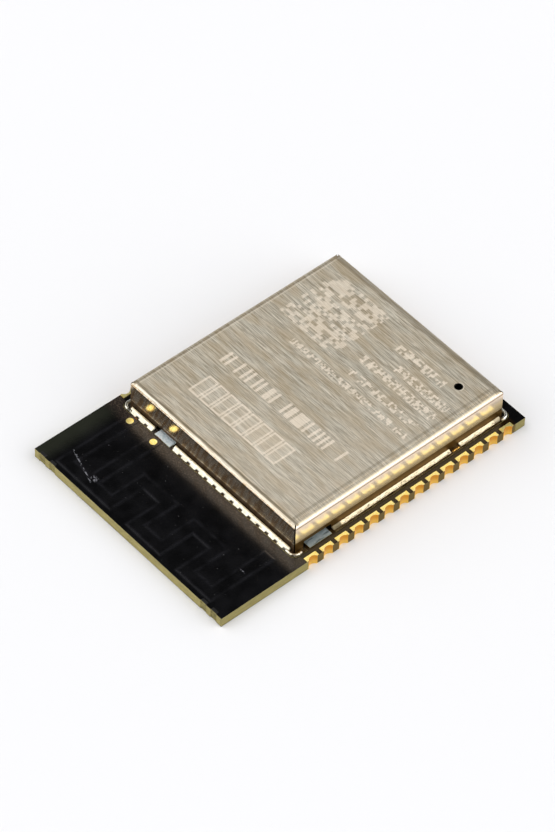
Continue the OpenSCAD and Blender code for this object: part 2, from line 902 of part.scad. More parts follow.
module solder_right() {
    break_y = can_rear - solder_break_y;
    color("whitesmoke")
        translate([can_w / 2, 0, circuit_z]) {
            solder_run(side_notch_mid + side_notch_w / 2, break_y - solder_break_l / 2);
            solder_run(break_y + solder_break_l / 2, can_rear - solder_inset);
        }
}

board_core();
mask_top();
mask_bottom();
antenna_strip();
test_pads();
contacts_left();
contacts_right();
contacts_rear();
ground_pad();
ground_ring();
notch_lands();
component_lands();
mcu_body();
mcu_terminals();
flash_body();
flash_leads();
crystal_base();
crystal_lid();
capacitor_bodies();
capacitor_ends();
inductor_bodies();
inductor_ends();
resistor_bodies();
resistor_ends();
shield_can();
solder_front();
solder_rear();
solder_left();
solder_right();
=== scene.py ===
import math

import bpy
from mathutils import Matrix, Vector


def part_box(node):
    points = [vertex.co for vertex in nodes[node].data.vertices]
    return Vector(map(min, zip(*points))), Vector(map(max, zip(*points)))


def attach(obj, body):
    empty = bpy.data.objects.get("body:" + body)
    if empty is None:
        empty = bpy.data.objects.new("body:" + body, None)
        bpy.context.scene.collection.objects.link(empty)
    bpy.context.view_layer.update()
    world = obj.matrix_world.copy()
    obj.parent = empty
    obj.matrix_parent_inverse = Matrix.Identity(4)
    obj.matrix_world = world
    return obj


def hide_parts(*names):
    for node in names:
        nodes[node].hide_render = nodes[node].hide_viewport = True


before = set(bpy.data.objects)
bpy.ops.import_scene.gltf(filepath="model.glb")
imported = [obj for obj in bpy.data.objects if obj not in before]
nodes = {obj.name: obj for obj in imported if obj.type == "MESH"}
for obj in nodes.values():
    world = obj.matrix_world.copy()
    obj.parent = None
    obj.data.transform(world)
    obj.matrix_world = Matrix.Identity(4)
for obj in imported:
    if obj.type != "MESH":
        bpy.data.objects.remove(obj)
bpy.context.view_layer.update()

# ---- The laminate of the board ----
# A core of woven glass in epoxy, sawn along the antenna edge and drilled along the rows of
# contacts before it is cut out. Its olive cut edge shows below the black mask.
MM = 0.001


def paint(code):
    """A colour from its hex code, as the linear values that a shader takes."""
    parts = [int(code[i:i + 2], 16) / 255 for i in (0, 2, 4)]
    return [p / 12.92 if p < 0.04045 else ((p + 0.055) / 1.055) ** 2.4 for p in parts] + [1]


class Tone:
    """A value that changes over a finish. Arithmetic on it adds Math nodes."""

    def __init__(self, finish, socket):
        self.finish, self.socket = finish, socket

    def math(self, operation, *values):
        inputs = dict(enumerate(values))
        return self.finish.node("ShaderNodeMath", {"operation": operation}, inputs)

    def __add__(self, other): return self.math("ADD", self, other)
    def __sub__(self, other): return self.math("SUBTRACT", self, other)
    def __rsub__(self, other): return self.math("SUBTRACT", other, self)
    def __mul__(self, other): return self.math("MULTIPLY", self, other)
    def __truediv__(self, other): return self.math("DIVIDE", self, other)
    def __abs__(self): return self.math("ABSOLUTE", self)
    def __neg__(self): return self.math("MULTIPLY", self, -1)
    def least(self, other): return self.math("MINIMUM", self, other)
    def most(self, other): return self.math("MAXIMUM", self, other)
    def floor(self): return self.math("FLOOR", self)
    def fract(self): return self.math("FRACT", self)
    def root(self): return self.math("SQRT", self)
    __radd__, __rmul__ = __add__, __mul__

    def rise(self, low, high):
        """0 below low, 1 above high and a smooth step between; low above high turns it round."""
        return self.finish.node("ShaderNodeMapRange", {"interpolation_type": "SMOOTHSTEP"},
                                {"Value": self, "From Min": low, "From Max": high})


class Finish:
    """A procedural material, or the light of the studio, and the one way to add a node to it."""

    def __init__(self, name, constants, owner=None):
        self.owner = owner or bpy.data.materials.new(name)
        self.owner.use_nodes = True
        self.tree = self.owner.node_tree
        ends = ("BSDF_PRINCIPLED", "BACKGROUND")
        self.shader = next(node for node in self.tree.nodes if node.type in ends)
        self.set(constants)

    def set(self, values):
        for name, value in values.items():
            self.put(self.shader.inputs[name], value)

    def put(self, socket, value):
        if isinstance(value, Tone):
            self.tree.links.new(value.socket, socket)
        else:
            socket.default_value = value

    def node(self, kind, settings, inputs, output=0):
        node = self.tree.nodes.new(kind)
        for name, value in settings.items():
            setattr(node, name, value)
        for name, value in inputs.items():
            self.put(node.inputs[name], value)
        return Tone(self, node.outputs[output])

    def place(self):
        """The object's own coordinates in millimetres, as one vector."""
        own = self.node("ShaderNodeTexCoord", {}, {}, "Object")
        inputs = {0: own, "Scale": 1 / MM}
        return self.node("ShaderNodeVectorMath", {"operation": "SCALE"}, inputs)

    def axes(self, vector):
        """The three parts of a vector."""
        return [self.node("ShaderNodeSeparateXYZ", {}, {0: vector}, i) for i in range(3)]

    def noise(self, place, grain, detail):
        """Noise with its own grain, in features per millimetre, along each axis."""
        stretch = {0: place, 1: grain}
        stretched = self.node("ShaderNodeVectorMath", {"operation": "MULTIPLY"}, stretch)
        inputs = {"Vector": stretched, "Scale": 1.0, "Detail": detail}
        return self.node("ShaderNodeTexNoise", {}, inputs)

    def mix(self, amount, under, over):
        """One colour over another, from 0, none of it, to 1, nothing else."""
        inputs = {0: amount, 6: under, 7: over}
        return self.node("ShaderNodeMix", {"data_type": "RGBA"}, inputs, 2)

    def bump(self, height, depth, under=None):
        """A normal from a height of 0 to 1 over a depth in millimetres."""
        inputs = {"Height": height, "Distance": depth * MM, "Strength": 1.0}
        if under:
            inputs["Normal"] = under
        return self.node("ShaderNodeBump", {}, inputs)

    def on(self, *names):
        """Gives this finish to nodes of the frame."""
        for name in names:
            nodes[name].material_slots[0].material = self.owner


ROWS_FRONT, ROWS_REAR = -5.7, 12.0
LONG_ROW_X = 8.2
REAR_ROW_Y, REAR_ROW_END = 12.1, 6.6
SHADED_EDGE_X = 8.8

laminate = Finish("cut_laminate", {"Specular IOR Level": 0.25})
place = laminate.place()
x, y, z = laminate.axes(place)
glass_layers = laminate.noise(place, (1.2, 1.2, 16), 3)
fibre_ends = laminate.noise(place, (14, 14, 22), 2)
long_rows = y.rise(ROWS_FRONT, ROWS_FRONT + 0.5) * y.rise(ROWS_REAR, ROWS_REAR - 0.2)
long_rows = long_rows * abs(x).rise(LONG_ROW_X, LONG_ROW_X + 0.3)
rear_row = y.rise(REAR_ROW_Y, REAR_ROW_Y + 0.3) * abs(x).rise(REAR_ROW_END, REAR_ROW_END - 0.2)
drilled_rows = long_rows.most(rear_row)
cut_edge = laminate.mix(glass_layers.rise(0.35, 0.65), paint("877c48"), paint("a3975c"))
cut_edge = laminate.mix(fibre_ends.rise(0.5, 0.75) * 0.5, cut_edge, paint("c9bf8c"))
shaded = x.rise(SHADED_EDGE_X, SHADED_EDGE_X + 0.15)
cut_edge = laminate.mix(shaded * 0.4, cut_edge, paint("655f33"))
cut_edge = laminate.mix(drilled_rows * 0.9, cut_edge, paint("584414"))
laminate.set({"Base Color": cut_edge, "Roughness": 0.5 + 0.2 * fibre_ends,
              "Normal": laminate.bump(glass_layers * 0.6 + fibre_ends * 0.4, 0.01)})
laminate.on("board_core")

# ---- The antenna strip and the two test pads ----
# Copper foil etched into a folded strip. It lies under the mask, apart from two round pads
# on its legs that are plated with gold.
copper = Finish("foil", {"Metallic": 1.0})
place = copper.place()
rolled = copper.noise(place, (2, 14, 2), 3)
copper.set({"Base Color": copper.mix(rolled, paint("b46a43"), paint("d08a5e")),
            "Roughness": 0.3 + 0.2 * rolled, "Normal": copper.bump(rolled, 0.002)})
copper.on("antenna_strip")

UPPER_FACE_Z = 0.79
HOLE_SHADE_LOW, HOLE_SHADE_HIGH = 0.1, 0.65

gold = Finish("plated_gold", {"Metallic": 0.75})
place = gold.place()
x, y, z = gold.axes(place)
plating_grain = gold.noise(place, (9, 9, 9), 4)
fine_grain = gold.noise(place, (40, 40, 40), 2)
upper_face = z.rise(UPPER_FACE_Z - 0.02, UPPER_FACE_Z)
plating = gold.mix(plating_grain.rise(0.3, 0.7), paint("ffe97e"), paint("fffabc"))
# The walls of the half holes are painted a deeper orange than the tops as painted shade, darkest
# near their top, and lighter near their bottom as a painted highlight.
hole_light_and_shade = z.rise(HOLE_SHADE_LOW, HOLE_SHADE_HIGH)
hole_wall_light_and_shade = gold.mix(hole_light_and_shade, paint("f2c85e"), paint("d8942a"))
plating = gold.mix(1 - upper_face, plating, hole_wall_light_and_shade)
gold.set({"Base Color": plating, "Roughness": 0.2 + 0.25 * plating_grain,
          "Normal": gold.bump(plating_grain * 0.7 + fine_grain * 0.3, 0.006)})
gold.on("test_pads", "contacts_left", "contacts_right", "contacts_rear", "ground_pad")

# ---- The solder mask ----
# Black lacquer printed on both faces and cured. It swells gently over the foil beneath it,
# and it carries a little dust, a few fine rubs and the flux that ran out in front of the can.
STRIP_W = 0.8
FOLD_PITCH = 2.4
FOLD_L = 3.48
FOLDS = 5
FEED_STEP = 2.1
GROUND_STEP = 2.3
FREE_END_GAP = 1.35
TEST_PAD_GAP = 0.85
UPPER_SIDE_Z = 0.5
RELIEF_OFFSET, RELIEF_W = 0.02, 0.2
RUBS = [(-4.62, -11.5, 0.34, 0.26), (7.0, -9.3, 0.3, 0.07), (-6.2, -9.0, 0.06, 0.06)]
SCRATCH = (-7.4, -10.95, 2.9, -0.32)
FLUX_REACH = 1.6
FLUX_FADE_X = 4.5
SHEEN_X, SHEEN_Y = -7.4, -6.5


def in_mm(box):
    """The low and the high corner of a box, in millimetres."""
    return [[c / MM for c in corner] for corner in box]


mask = Finish("black_mask", {"Specular IOR Level": 0.32})
place = mask.place()
x, y, z = mask.axes(place)
foil_low, foil_high = in_mm(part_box("antenna_strip"))
can_low, can_high = in_mm(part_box("shield_can"))
near, far = foil_low[1], foil_low[1] + FOLD_L
free_x = foil_high[0] - STRIP_W / 2
last_fold_x = free_x - (FOLDS - 1) * FOLD_PITCH
feed_x = last_fold_x - FEED_STEP
ground_x = feed_x - GROUND_STEP
leg_end = can_low[1] - TEST_PAD_GAP + STRIP_W / 2
runs = [(free_x, free_x, near, can_low[1] - FREE_END_GAP),
        (ground_x, last_fold_x, near, near + STRIP_W),
        (feed_x, feed_x, near, leg_end), (ground_x, ground_x, near, leg_end)]
for i in range(1, FOLDS):
    fold_x = free_x - i * FOLD_PITCH
    low = near if i % 2 == 1 else far - STRIP_W
    runs += [(fold_x, fold_x, near, far), (fold_x, fold_x + FOLD_PITCH, low, low + STRIP_W)]
edge_distance = None
for left, right, low, high in runs:
    across = abs(x - (left + right) / 2) - (right - left) / 2 - STRIP_W / 2
    along = abs(y - (low + high) / 2) - (high - low) / 2
    distance = across.most(along)
    edge_distance = distance if edge_distance is None else edge_distance.least(distance)
upper_side = z.rise(UPPER_SIDE_Z, UPPER_SIDE_Z + 0.1)
relief_highlight = abs(edge_distance - RELIEF_OFFSET).rise(RELIEF_W, 0.0) * upper_side
highlight_breakup = mask.noise(place, (1.3, 1.3, 1), 3).rise(0.3, 0.6)
mottle = mask.noise(place, (0.9, 0.9, 0.9), 4)
orange_peel = mask.noise(place, (5, 5, 5), 2)
dust = mask.noise(place, (8, 8, 8), 1).rise(0.78, 0.82)

start_x, start_y, scratch_l, slope = SCRATCH
from_start = x - start_x
off_line = abs(y - start_y - from_start * slope)
rubbed = off_line.rise(0.07, 0.03) * from_start.rise(0, 0.1)
rubbed = rubbed * from_start.rise(scratch_l, scratch_l - 0.1)
for rub_x, rub_y, half_l, half_w in RUBS:
    spot = abs((x - rub_x) / half_l).rise(1, 0.2) * abs((y - rub_y) / half_w).rise(1, 0.2)
    rubbed = rubbed.most(spot)
rubbed = rubbed * mask.noise(place, (5, 9, 5), 3).rise(0.46, 0.58) * upper_side

black = mask.mix(mottle.rise(0.3, 0.7), paint("060607"), paint("0e0e10"))
# Thin grey lines along the edges of the foil's relief are a painted highlight, uneven along their
# length.
black = mask.mix(relief_highlight * (0.08 + 0.32 * highlight_breakup), black, paint("26262a"))
black = mask.mix(dust * 0.35, black, paint("8a8a8a"))
black = mask.mix(rubbed * 0.5, black, paint("9a9aa2"))
speckle = mask.noise(place, (10, 10, 10), 3)
flux = y.rise(can_low[1] - FLUX_REACH, can_low[1] - 0.5) * y.rise(can_low[1] + 0.1, can_low[1])
flux = flux * upper_side * (1 - 0.5 * x.rise(FLUX_FADE_X, FLUX_FADE_X + 3))
black = mask.mix(flux * (0.55 + 0.35 * speckle.rise(0.35, 0.65)), black, paint("38302a"))
black = mask.mix(flux * speckle.rise(0.5, 0.7) * 0.24, black, paint("8c7c6a"))
beside_can = y.rise(can_low[1], can_low[1] + 1) * y.rise(can_high[1] + 0.3, can_high[1])
# The mask beside the can's right wall is painted warm brown: painted reflection.
side_reflection = x.rise(can_high[0], can_high[0] + 0.1) * beside_can * upper_side
black = mask.mix(side_reflection * 0.85, black, paint("251602"))
# A greyish green tone along the left end of the antenna area is a painted sheen.
left_sheen = x.rise(SHEEN_X, SHEEN_X - 1.2) * y.rise(SHEEN_Y, SHEEN_Y - 1) * upper_side
black = mask.mix(left_sheen * (0.6 + 0.4 * mottle), black, paint("282a22"))
swell = edge_distance.rise(0.12, -0.05)
mask_normal = mask.bump(swell, 0.012, mask.bump(orange_peel, 0.0015))
mask.set({"Base Color": black, "Roughness": 0.15 + 0.1 * mottle + 0.4 * dust.most(rubbed),
          "Normal": mask_normal})
mask.on("mask_top", "mask_bottom")

# ---- The ground ring and the other tinned lands ----
# Copper faces dipped in tin. The can stands on the ring, and two flat lands lie in the
# notches of its skirt.
SIDE_LAND_X = 7

tinned = Finish("flat_tin", {"Metallic": 0.4})
place = tinned.place()
x, y, z = tinned.axes(place)
crystals = tinned.noise(place, (7, 7, 7), 4)
lengthwise_bands = tinned.noise(place, (7, 1.1, 1), 3)
on_side = x.rise(SIDE_LAND_X - 1, SIDE_LAND_X) * 0.6
tin = tinned.mix(crystals.rise(0.3, 0.7), paint("d2e2e8"), paint("f8fdff"))
# The land on the side is darker than the front one, with darker and lighter bands along its
# length.
tin = tinned.mix(on_side, tin, paint("60706e"))
tin = tinned.mix(lengthwise_bands.rise(0.5, 0.66) * on_side, tin, paint("2c3838"))
tin = tinned.mix(lengthwise_bands.rise(0.42, 0.3) * on_side, tin, paint("b8ccd0"))
tinned.set({"Base Color": tin, "Roughness": 0.35 + 0.25 * crystals,
            "Normal": tinned.bump(crystals, 0.01)})
tinned.on("notch_lands", "component_lands")

ring_tin = Finish("ring_tin", {"Metallic": 1.0})
place = ring_tin.place()
tarnish = ring_tin.noise(place, (3, 3, 3), 4)
ring_colour = ring_tin.mix(tarnish.rise(0.35, 0.65), paint("4a3f2e"), paint("7c7566"))
ring_tin.set({"Base Color": ring_colour, "Roughness": 0.12 + 0.2 * tarnish,
              "Normal": ring_tin.bump(tarnish, 0.008)})
ring_tin.on("ground_ring")

# ---- The circuit under the can ----
# Moulded and ceramic parts with tinned ends, soldered to their lands. The can hides all of
# them once it is on.
mould = Finish("moulded_epoxy", {})
place = mould.place()
pores = mould.noise(place, (12, 12, 12), 4)
mould.set({"Base Color": mould.mix(pores, paint("1d1d1f"), paint("333336")),
           "Roughness": 0.5 + 0.25 * pores, "Normal": mould.bump(pores, 0.008)})
mould.on("mcu_body", "flash_body")

terminal = Finish("tinned_end", {"Metallic": 1.0})
place = terminal.place()
dip = terminal.noise(place, (6, 6, 6), 3)
terminal.set({"Base Color": terminal.mix(dip, paint("b4b6b8"), paint("e0e0dc")),
              "Roughness": 0.2 + 0.25 * dip, "Normal": terminal.bump(dip, 0.01)})
terminal.on("mcu_terminals", "flash_leads", "capacitor_ends", "inductor_ends", "resistor_ends")

lid_metal = Finish("welded_lid", {"Metallic": 1.0})
place = lid_metal.place()
weld = lid_metal.noise(place, (3, 20, 3), 3)
lid_metal.set({"Base Color": lid_metal.mix(weld, paint("bdb9ae"), paint("d9d5c8")),
               "Roughness": 0.25 + 0.2 * weld, "Normal": lid_metal.bump(weld, 0.004)})
lid_metal.on("crystal_lid")

for ceramic_name, node_name, dark, light in (
        ("crystal_ceramic_body", "crystal_base", "a88f5c", "cdb682"),
        ("capacitor_ceramic", "capacitor_bodies", "7d5c40", "a8825e"),
        ("inductor_ceramic", "inductor_bodies", "33506a", "5d7f9c"),
        ("resistor_glaze", "resistor_bodies", "0e0e12", "232329")):
    ceramic = Finish(ceramic_name, {})
    place = ceramic.place()
    fired = ceramic.noise(place, (8, 8, 8), 4)
    ceramic.set({"Base Color": ceramic.mix(fired, paint(dark), paint(light)),
                 "Roughness": 0.35 + 0.3 * fired, "Normal": ceramic.bump(fired, 0.006)})
    ceramic.on(node_name)

# ---- The shield can ----
# Brushed nickel silver sheet, folded down on four sides with open corner seams and a coined
# rim round its lid. A laser has lightened a few plain fields on the lid.
PATCH_EDGE = 0.04
CODE_FIELD = (-3.95, 7.95, 2.55, 2.55)
CODE_CELL = 0.26
ROWS = [(2.95, 9.15, 2.15, 0.35, 0.2), (4.45, 7.85, 2.35, 0.35, 0.16),
        (3.4, 6.75, 3.4, 0.35, 0.18), (3.55, 5.4, 3.25, 0.3, 0.16), (1.4, 4.35, 5.4, 0.25, 0.14)]
TICK_FIELD = (0.25, 0.2, 5.95, 0.55)
TICK_W = 0.21
BOX_X, BOX_Y, BOX_ROW_HALF_L = -0.94, -2.55, 4.16
BOX_START, BOX_PITCH = -5.1, 1.04
BOX_HALF_W, BOX_HALF_H = 0.4, 0.86
HOLE_SIDE, HOLE_REAR, HOLE_R = 2.12, 1.97, 0.31
GLINT_INSET = 0.46
RIGHT_HIGHLIGHT_W, REAR_SHADE_W, LEFT_SHADE_W = 0.28, 0.45, 0.3
SLANT = math.radians(-20)
REFLECTION_LOW_Z = 1.4
LOW_REFLECTION_TOPS = {"front": (1.62, 1.35), "right": (1.72, 1.42), "other": (1.3, 1.0)}
SHADE_LINE_Z = 2.84

can = Finish("brushed_can", {})
place = can.place()
x, y, z = can.axes(place)
top_face = z.rise(can_high[2] - 0.12, can_high[2] - 0.08)
side_face = 1 - top_face
long_grain = can.noise(place, (0.14, 12, 3), 4)
short_grain = can.noise(place, (1.0, 22, 6), 4)
wall_grain = can.noise(place, (9, 9, 0.8), 4)
cloud = can.noise(place, (0.4, 1.3, 0.3), 3)
cool = can.noise(place, (0.3, 0.8, 0.3), 2).rise(0.35, 0.65)
sheet = can.mix(long_grain.rise(0.25, 0.75), paint("cabfaa"), paint("faf0de"))
sheet = can.mix(0.08 + 0.2 * cool, sheet, paint("d2d4ca"))
sheet = can.mix(short_grain.rise(0.42, 0.64) * 0.74, sheet, paint("968972"))
sheet = can.mix(cloud.rise(0.35, 0.7) * 0.46, sheet, paint("c6b08c"))
sheet = can.mix((x - y).rise(-6, 10) * 0.16, sheet, paint("fff4e2"))


def patch(mid_x, mid_y, half_w, half_h):
    """1 inside a rectangle on the lid and 0 outside it."""
    in_width = (half_w - abs(x - mid_x)).rise(-PATCH_EDGE, PATCH_EDGE)
    return in_width * (half_h - abs(y - mid_y)).rise(-PATCH_EDGE, PATCH_EDGE)


def scatter(size, low, high, seed):
    """Square cells of a size, each lit or bare by chance."""
    cell = can.node("ShaderNodeCombineXYZ", {},
                    {0: (x / size).floor(), 1: (y / size).floor(), 2: seed})
    lit = can.node("ShaderNodeTexWhiteNoise", {"noise_dimensions": "3D"}, {"Vector": cell})
    return lit.rise(low, high)


etched = patch(*CODE_FIELD) * scatter(CODE_CELL, 0.45, 0.5, 4.0) * 0.8
for seed, (mid_x, mid_y, half_w, half_h, cell) in enumerate(ROWS):
    spaces = ((x - mid_x) / (4 * cell)).fract().rise(0.12, 0.2)
    row = patch(mid_x, mid_y, half_w, half_h) * scatter(cell, 0.4, 0.5, 11.0 + seed)
    etched = etched.most(row * spaces)
tick = (x / TICK_W).floor()
ticks = can.node("ShaderNodeTexWhiteNoise", {"noise_dimensions": "1D"}, {"W": tick})
etched = etched.most(patch(*TICK_FIELD) * ticks.rise(0.5, 0.55))
from_box = ((x - BOX_START) / BOX_PITCH).fract() * BOX_PITCH - BOX_PITCH / 2
box_edge = abs((abs(from_box) - BOX_HALF_W).most(abs(y - BOX_Y) - BOX_HALF_H))
outlines = box_edge.rise(0.1, 0.05) * patch(BOX_X, BOX_Y, BOX_ROW_HALF_L, 1.0)
etched = etched.most(outlines).most(patch(BOX_X, BOX_Y, BOX_ROW_HALF_L, 0.8) * 0.25) * top_face
sheet = can.mix(etched * 0.68, sheet, paint("ece0cf"))

from_front, from_rear = y - can_low[1], can_high[1] - y
from_left, from_right = x - can_low[0], can_high[0] - x
COIN_LINES = ((from_front, 0.32, 0.09, 1.0), (from_right, 0.66, 0.1, 0.5),
              (from_rear, 0.47, 0.08, 0.75), (from_left, 0.3, 0.06, 0.8))
# The creases round the lid's rim are painted dark: painted shade.
crease_shade = None
for inwards, distance, half_w, depth in COIN_LINES:
    crease = abs(inwards - distance).rise(half_w + 0.05, half_w - 0.05) * depth
    crease_shade = crease if crease_shade is None else crease_shade.most(crease)
crease_shade = crease_shade * top_face * (0.55 + 0.45 * short_grain)
glint = abs(from_left - GLINT_INSET).rise(0.08, 0.02) * top_face
# A cream band along the lid's right edge is a painted highlight.
right_rim_highlight = from_right.rise(RIGHT_HIGHLIGHT_W, RIGHT_HIGHLIGHT_W - 0.06) * top_face
# Bands along the lid's rear and left edges are painted darker: painted shade.
rear_rim_shade = from_rear.rise(REAR_SHADE_W, REAR_SHADE_W - 0.1) * top_face
left_rim_shade = from_left.rise(LEFT_SHADE_W, LEFT_SHADE_W - 0.15) * top_face
sheet = can.mix(glint * 0.4, sheet, paint("fff6e6"))
sheet = can.mix(right_rim_highlight * 0.55, sheet, paint("f6e6c6"))
sheet = can.mix(crease_shade * 0.8, sheet, paint("6e5c3c"))
sheet = can.mix(rear_rim_shade * 0.55, sheet, paint("7f7460"))
sheet = can.mix(left_rim_shade * 0.5, sheet, paint("7f7460"))

across, along = from_right - HOLE_SIDE, from_rear - HOLE_REAR
from_hole = (across * across + along * along).root()
# The hole in the lid is painted black inside: painted shade. A light arc on the rear right of its
# rim is a painted highlight.
hole_rim_highlight = abs(from_hole - HOLE_R - 0.03).rise(0.05, 0.01) * (-across - along).rise(-0.1, 0.2)
sheet = can.mix(from_hole.rise(HOLE_R, HOLE_R - 0.03) * top_face, sheet, paint("0a0806"))
sheet = can.mix(hole_rim_highlight * top_face * 0.7, sheet, paint("fff6e6"))

front_face = from_front.rise(0.06, 0.02) * side_face
right_face = from_right.rise(0.06, 0.02) * side_face
# The front wall is painted tan with light slanted streaks: painted reflection.
slanted = can.node("ShaderNodeVectorRotate", {"rotation_type": "Y_AXIS"},
                   {"Vector": place, "Angle": SLANT})
front_reflection_streaks = can.noise(slanted, (6, 1, 0.7), 3).rise(0.42, 0.58) * front_face
sheet = can.mix(front_face * 0.6, sheet, paint("dcaa66"))
sheet = can.mix(front_reflection_streaks * 0.9, sheet, paint("fff2dc"))
# The right wall is painted pale gold low down and pale pink higher up: painted reflection of the
# gold contacts and of the floor.
right_wall_reflection = right_face * z.rise(REFLECTION_LOW_Z, REFLECTION_LOW_Z + 0.2)
sheet = can.mix(right_wall_reflection * z.rise(2.8, 2.0), sheet, paint("ffe6b4"))
sheet = can.mix(right_wall_reflection * z.rise(2.0, 2.8), sheet, paint("ecd6be"))
# The walls are painted dark brown low down, near the board: painted reflection of the dark board.
low_wall_reflection = (front_face * z.rise(*LOW_REFLECTION_TOPS["front"])).most(right_face * z.rise(*LOW_REFLECTION_TOPS["right"]))
low_wall_reflection = low_wall_reflection.most(side_face * z.rise(*LOW_REFLECTION_TOPS["other"]) * 0.5)
low_reflection_colour = can.mix(front_face, paint("6a4e18"), paint("4a3012"))
sheet = can.mix(low_wall_reflection * (0.93 + 0.07 * right_face), sheet, low_reflection_colour)
shade_line = abs(z - SHADE_LINE_Z).rise(0.06, 0.02) * side_face
sheet = can.mix(shade_line * 0.7, sheet, paint("4a3a24"))

bare_metal = 1 - 0.3 * top_face - right_wall_reflection * (0.32 + 0.22 * z.rise(1.7, 2.3))
wall_haze = 0.1 + 0.05 * right_wall_reflection + 0.07 * front_face + 0.3 * low_wall_reflection
lid_haze = (0.32 + 0.1 * long_grain + 0.2 * etched) * top_face
brushing = (long_grain * 0.6 + short_grain * 0.4) * top_face + 0.1 * wall_grain * side_face
can.set({"Base Color": sheet, "Metallic": bare_metal, "Roughness": wall_haze + lid_haze,
         "Normal": can.bump(brushing, 0.01)})
can.on("shield_can")

# ---- The solder round the can's skirt ----
# Bright solder that has run into the corner between the skirt and the ring and set in an
# uneven fillet. Small gaps along its foot at the front are painted dark: painted shade. On
# the right it is duller at its ends and parts at one place.
GAP_PITCH = 0.83
BREAK_FROM_REAR, BREAK_L = 4.2, 0.75
DAB_HALF_W, DAB_HALF_H = 0.09, 0.06
DAB_INSET, DAB_LIFT = 0.16, 0.02
VOXEL, LUMP_L = 0.035, 0.25
FILLET_LUMPS, DAB_LUMPS = 0.06, 0.05

solder = Finish("bright_solder", {"Metallic": 1.0})
place = solder.place()
x, y, z = solder.axes(place)
flow = solder.noise(place, (3, 3, 3), 3)
frost = solder.noise(place, (14, 14, 14), 4)
front_low, front_high = in_mm(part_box("solder_front"))
right_low, right_high = in_mm(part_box("solder_right"))

on_front = y.rise(front_high[1] + 0.1, front_high[1])
from_gap = GAP_PITCH * abs(((x - front_low[0]) / GAP_PITCH + 0.5).fract() - 0.5)
# The solder in the gaps along the front foot is painted near black: painted shade.
gap_shade = from_gap.rise(0.2, 0.1) * y.rise(front_low[1] + 0.2, front_low[1] + 0.1)
bright = solder.mix(flow.rise(0.3, 0.7), paint("cfcec2"), paint("f4f2e6"))
bright = solder.mix(frost.rise(0.54, 0.7) * (0.06 + 0.6 * on_front), bright, paint("8c8670"))
bright = solder.mix(on_front * 0.5, bright, paint("b4a98e"))
bright = solder.mix(on_front * z.rise(0.92, 1.0), bright, paint("8f8167"))
bright = solder.mix(gap_shade * 0.9, bright, paint("1c1a16"))

on_right = x.rise(right_low[0] - 0.2, right_low[0] - 0.1)
from_start, from_end = y - right_low[1], right_high[1] - y
mixed = on_right * from_start.rise(1.7, 1.4) * frost.rise(0.48, 0.56)
between_ends = from_start.rise(-0.3, -0.1) * from_end.rise(-0.2, 0)
dull_start = from_start.rise(0.8, 0.6) * from_start.rise(-0.3, -0.2)
dull_end = from_end.rise(0.6, 0.5) * from_end.rise(-0.15, -0.1)
dull = on_right * dull_start.most(dull_end * 0.6)
bright = solder.mix(mixed * 0.7, bright, paint("7a5c3c"))
bright = solder.mix(on_right * between_ends * 0.7, bright, paint("cab488"))
bright = solder.mix(dull * 0.85, bright, paint("564e38"))

break_y = can_high[1] - BREAK_FROM_REAR
at_break = on_right * abs(y - break_y).rise(BREAK_L / 2 + 0.02, BREAK_L / 2 - 0.02)
bare_copper = solder.mix(frost.rise(0.4, 0.6), paint("6b4a1c"), paint("e8b860"))
bright = solder.mix(at_break, bright, bare_copper)
solder.set({"Base Color": bright, "Roughness": 0.12 + 0.2 * frost + 0.2 * dull,
            "Normal": solder.bump(flow * 0.6 + frost * 0.4, 0.012)})


def set_unevenly(bead, name, depth, node=None):
    """Rounds off a bead of solder, makes it a little uneven and hands it over to the part.

    The bead is a thousand times its size meanwhile, because voxels can't be as small as it is.
    """
    bpy.ops.object.transform_apply(location=True, rotation=True, scale=True)
    bead.scale = (1 / MM,) * 3
    bpy.ops.object.transform_apply(scale=True)
    lumps = bpy.data.textures.new(name + "_lumps", "CLOUDS")
    lumps.noise_scale = LUMP_L
    unevenness = {"texture": lumps, "strength": depth, "texture_coords": "LOCAL"}
    for kind, settings in (("REMESH", {"mode": "VOXEL", "voxel_size": VOXEL}),
                           ("DISPLACE", unevenness),
                           ("SMOOTH", {"factor": 0.5, "iterations": 2})):
        modifier = bead.modifiers.new(kind.lower(), kind)
        for key, value in settings.items():
            setattr(modifier, key, value)
        bpy.ops.object.modifier_apply(modifier=modifier.name)
    bead.scale = (MM,) * 3
    bpy.ops.object.transform_apply(scale=True)
    bpy.ops.object.shade_smooth()
    bead.name = name
    bead.data.materials.clear()
    bead.data.materials.append(solder.owner)
    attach(bead, "root")
    if node:
        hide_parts(node)


for side, corner, slim in (("front", 0, (1, 0.9, 0.85)), ("rear", 1, (1, 0.6, 0.5)),
                           ("left", 1, (0.7, 1, 0.5)), ("right", 0, (0.7, 1, 0.5))):
    node = "solder_" + side
    low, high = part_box(node)
    held_foot = ((low, high)[corner][0], (low, high)[corner][1], low[2])
    bpy.ops.object.select_all(action="DESELECT")
    fillet = bpy.data.objects.new(node, nodes[node].data.copy())
    bpy.context.collection.objects.link(fillet)
    bpy.context.view_layer.objects.active = fillet
    fillet.select_set(True)
    bpy.ops.object.mode_set(mode="EDIT")
    bpy.ops.mesh.select_all(action="SELECT")
    bpy.ops.mesh.remove_doubles(threshold=1e-7)
    bpy.ops.transform.resize(value=slim, center_override=held_foot)
    bpy.ops.object.mode_set(mode="OBJECT")
    set_unevenly(fillet, "set_solder_" + side, FILLET_LUMPS, node)

